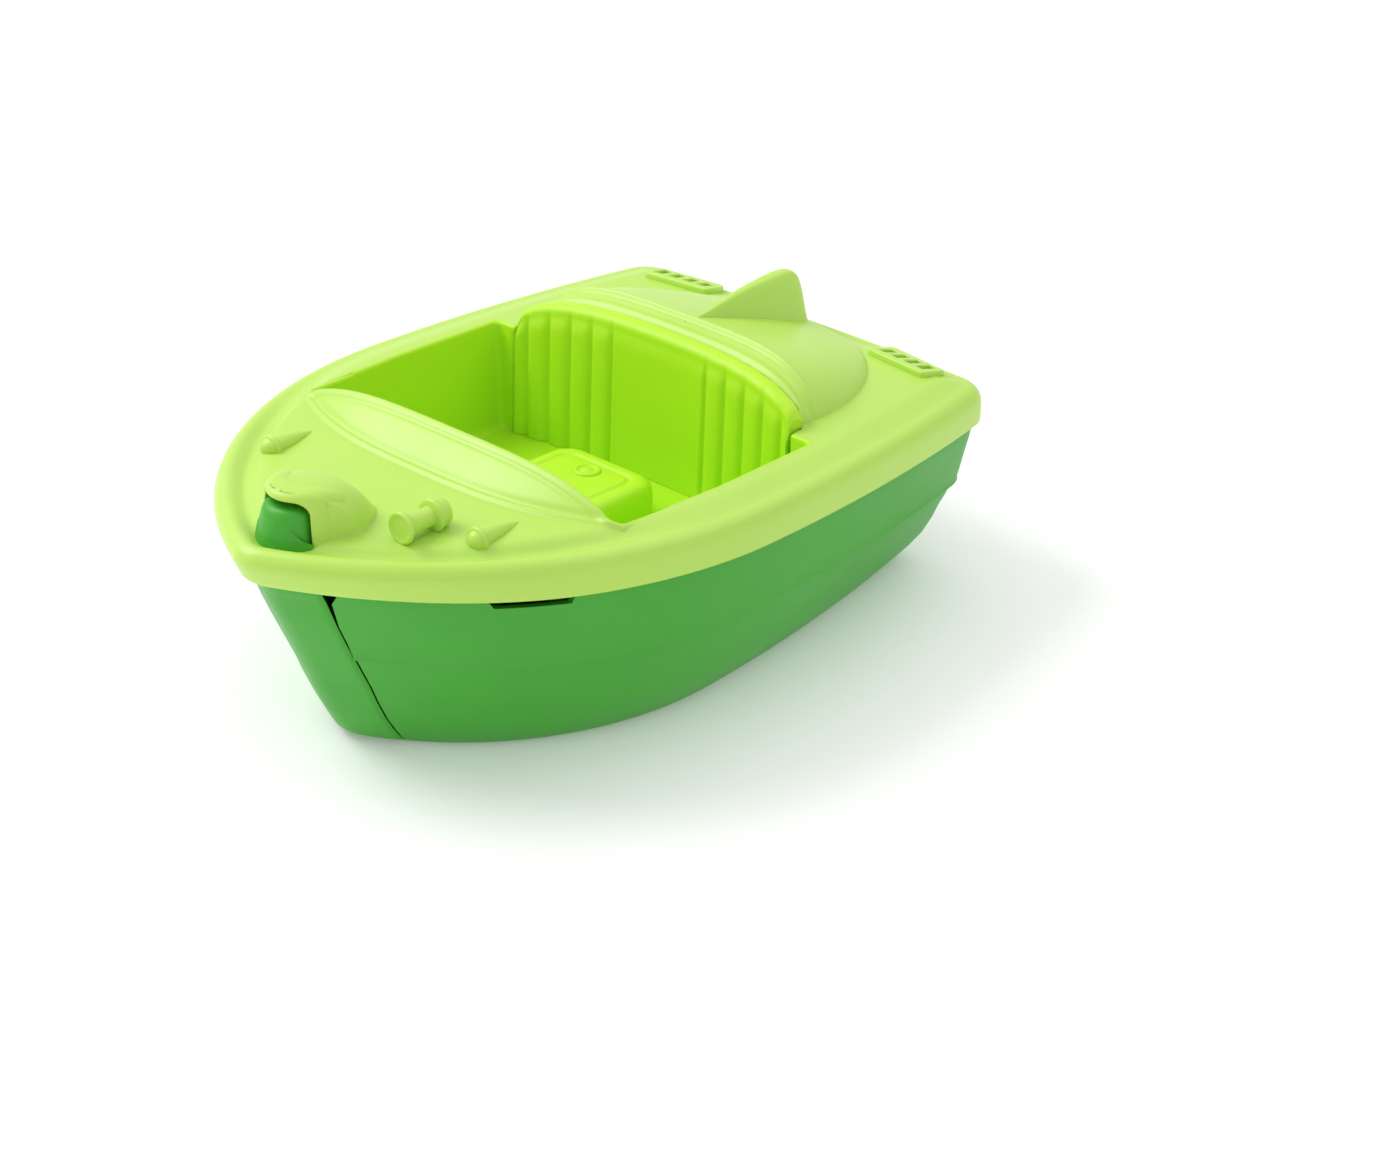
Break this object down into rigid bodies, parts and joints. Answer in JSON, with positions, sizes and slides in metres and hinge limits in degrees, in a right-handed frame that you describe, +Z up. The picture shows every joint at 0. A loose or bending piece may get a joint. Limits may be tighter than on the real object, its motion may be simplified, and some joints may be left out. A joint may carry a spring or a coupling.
{
  "type": "toy boat",
  "caption": "Moulded toy motorboat with an open cockpit, raked windshield, finned engine hatch and a bow push button that frees the hinged deck from the hull.",
  "frame": {"origin": "on the floor under the middle of the boat's bounding box, at the flat bottom of the hull", "axes": "+Z up, -Y toward the bow, +X to port"},
  "size_m": [0.174, 0.252, 0.0918],
  "materials": {
    "hull_green": "satin moulded polyethylene",
    "deck_green": "satin moulded polyethylene",
    "tub_green": "satin moulded polyethylene"
  },
  "bodies": {
    "hull": {"boat_hull": "hull_green"},
    "latch": {"bow_latch": "hull_green"},
    "topside": {"deck": "deck_green", "bow_hood": "deck_green", "windshield": "deck_green", "cockpit_tub": "tub_green", "seat_back": "tub_green", "console": "tub_green", "engine_hatch": "deck_green", "tail_fin": "deck_green", "nav_light_starboard": "deck_green", "nav_light_port": "deck_green", "horn": "deck_green", "vent_starboard": "deck_green", "vent_port": "deck_green", "stern_hook_starboard": "deck_green", "stern_hook_port": "deck_green"}
  },
  "joints": [
    {"name": "bow_latch_press", "type": "hinge", "parent": "hull", "child": "latch", "pos_m": [0, -0.0925, 0.013], "axis": [-1, 0, 0], "range_deg": [0, 4], "stiffness_Nm_per_rad": 0.6},
    {"name": "deck_lift", "type": "hinge", "parent": "hull", "child": "topside", "pos_m": [0, 0.12369, 0.05365], "axis": [-1, 0, 0], "range_deg": [0, 40]}
  ]
}
